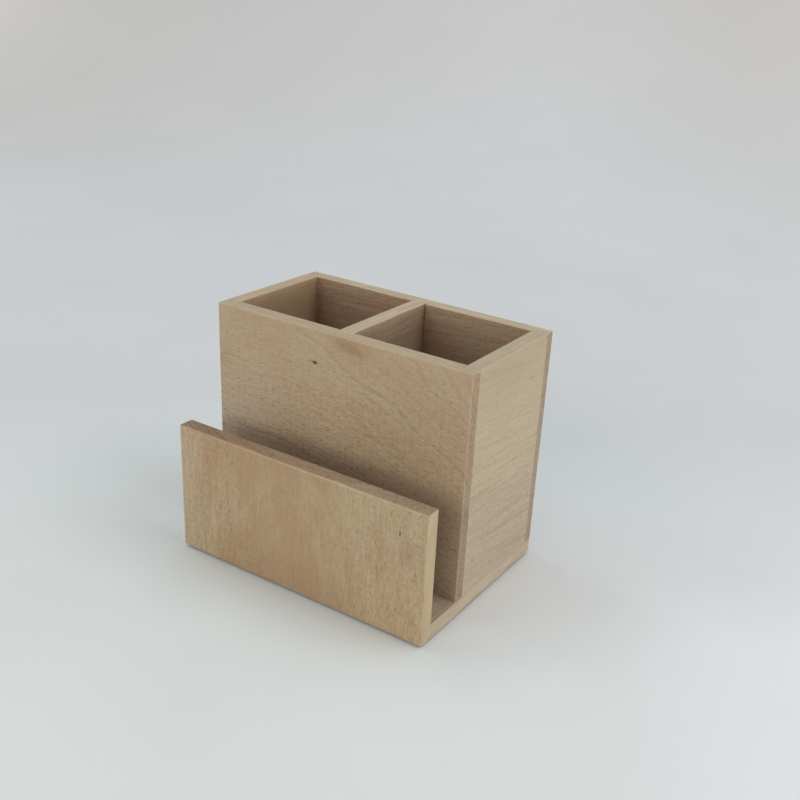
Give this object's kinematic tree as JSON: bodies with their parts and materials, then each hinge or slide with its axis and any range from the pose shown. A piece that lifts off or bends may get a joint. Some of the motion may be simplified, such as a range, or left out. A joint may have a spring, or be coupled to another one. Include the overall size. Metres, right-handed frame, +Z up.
{
  "type": "pencil cup",
  "caption": "Beech pencil cup with side-by-side compartments on a base board, whose front turns up into a low lip that forms an open slot for cards.",
  "frame": {"origin": "on the desk, below the middle of the outline of the base", "axes": "+X to the right along the lip, +Y from the lip to the back wall, +Z up"},
  "size_m": [0.11, 0.079, 0.094],
  "materials": {
    "beech_board": "sanded, bare and matt",
    "spline_beech": "as sawn",
    "pad_felt": "pressed felt"
  },
  "bodies": {
    "root": {"base_board": "beech_board", "front_lip": "beech_board", "mitre_spline": "spline_beech", "cup_front_wall": "beech_board", "cup_back_wall": "beech_board", "cup_left_wall": "beech_board", "cup_right_wall": "beech_board", "divider": "beech_board", "pad_front_left": "pad_felt", "pad_front_right": "pad_felt", "pad_back_left": "pad_felt", "pad_back_right": "pad_felt"}
  },
  "joints": []
}
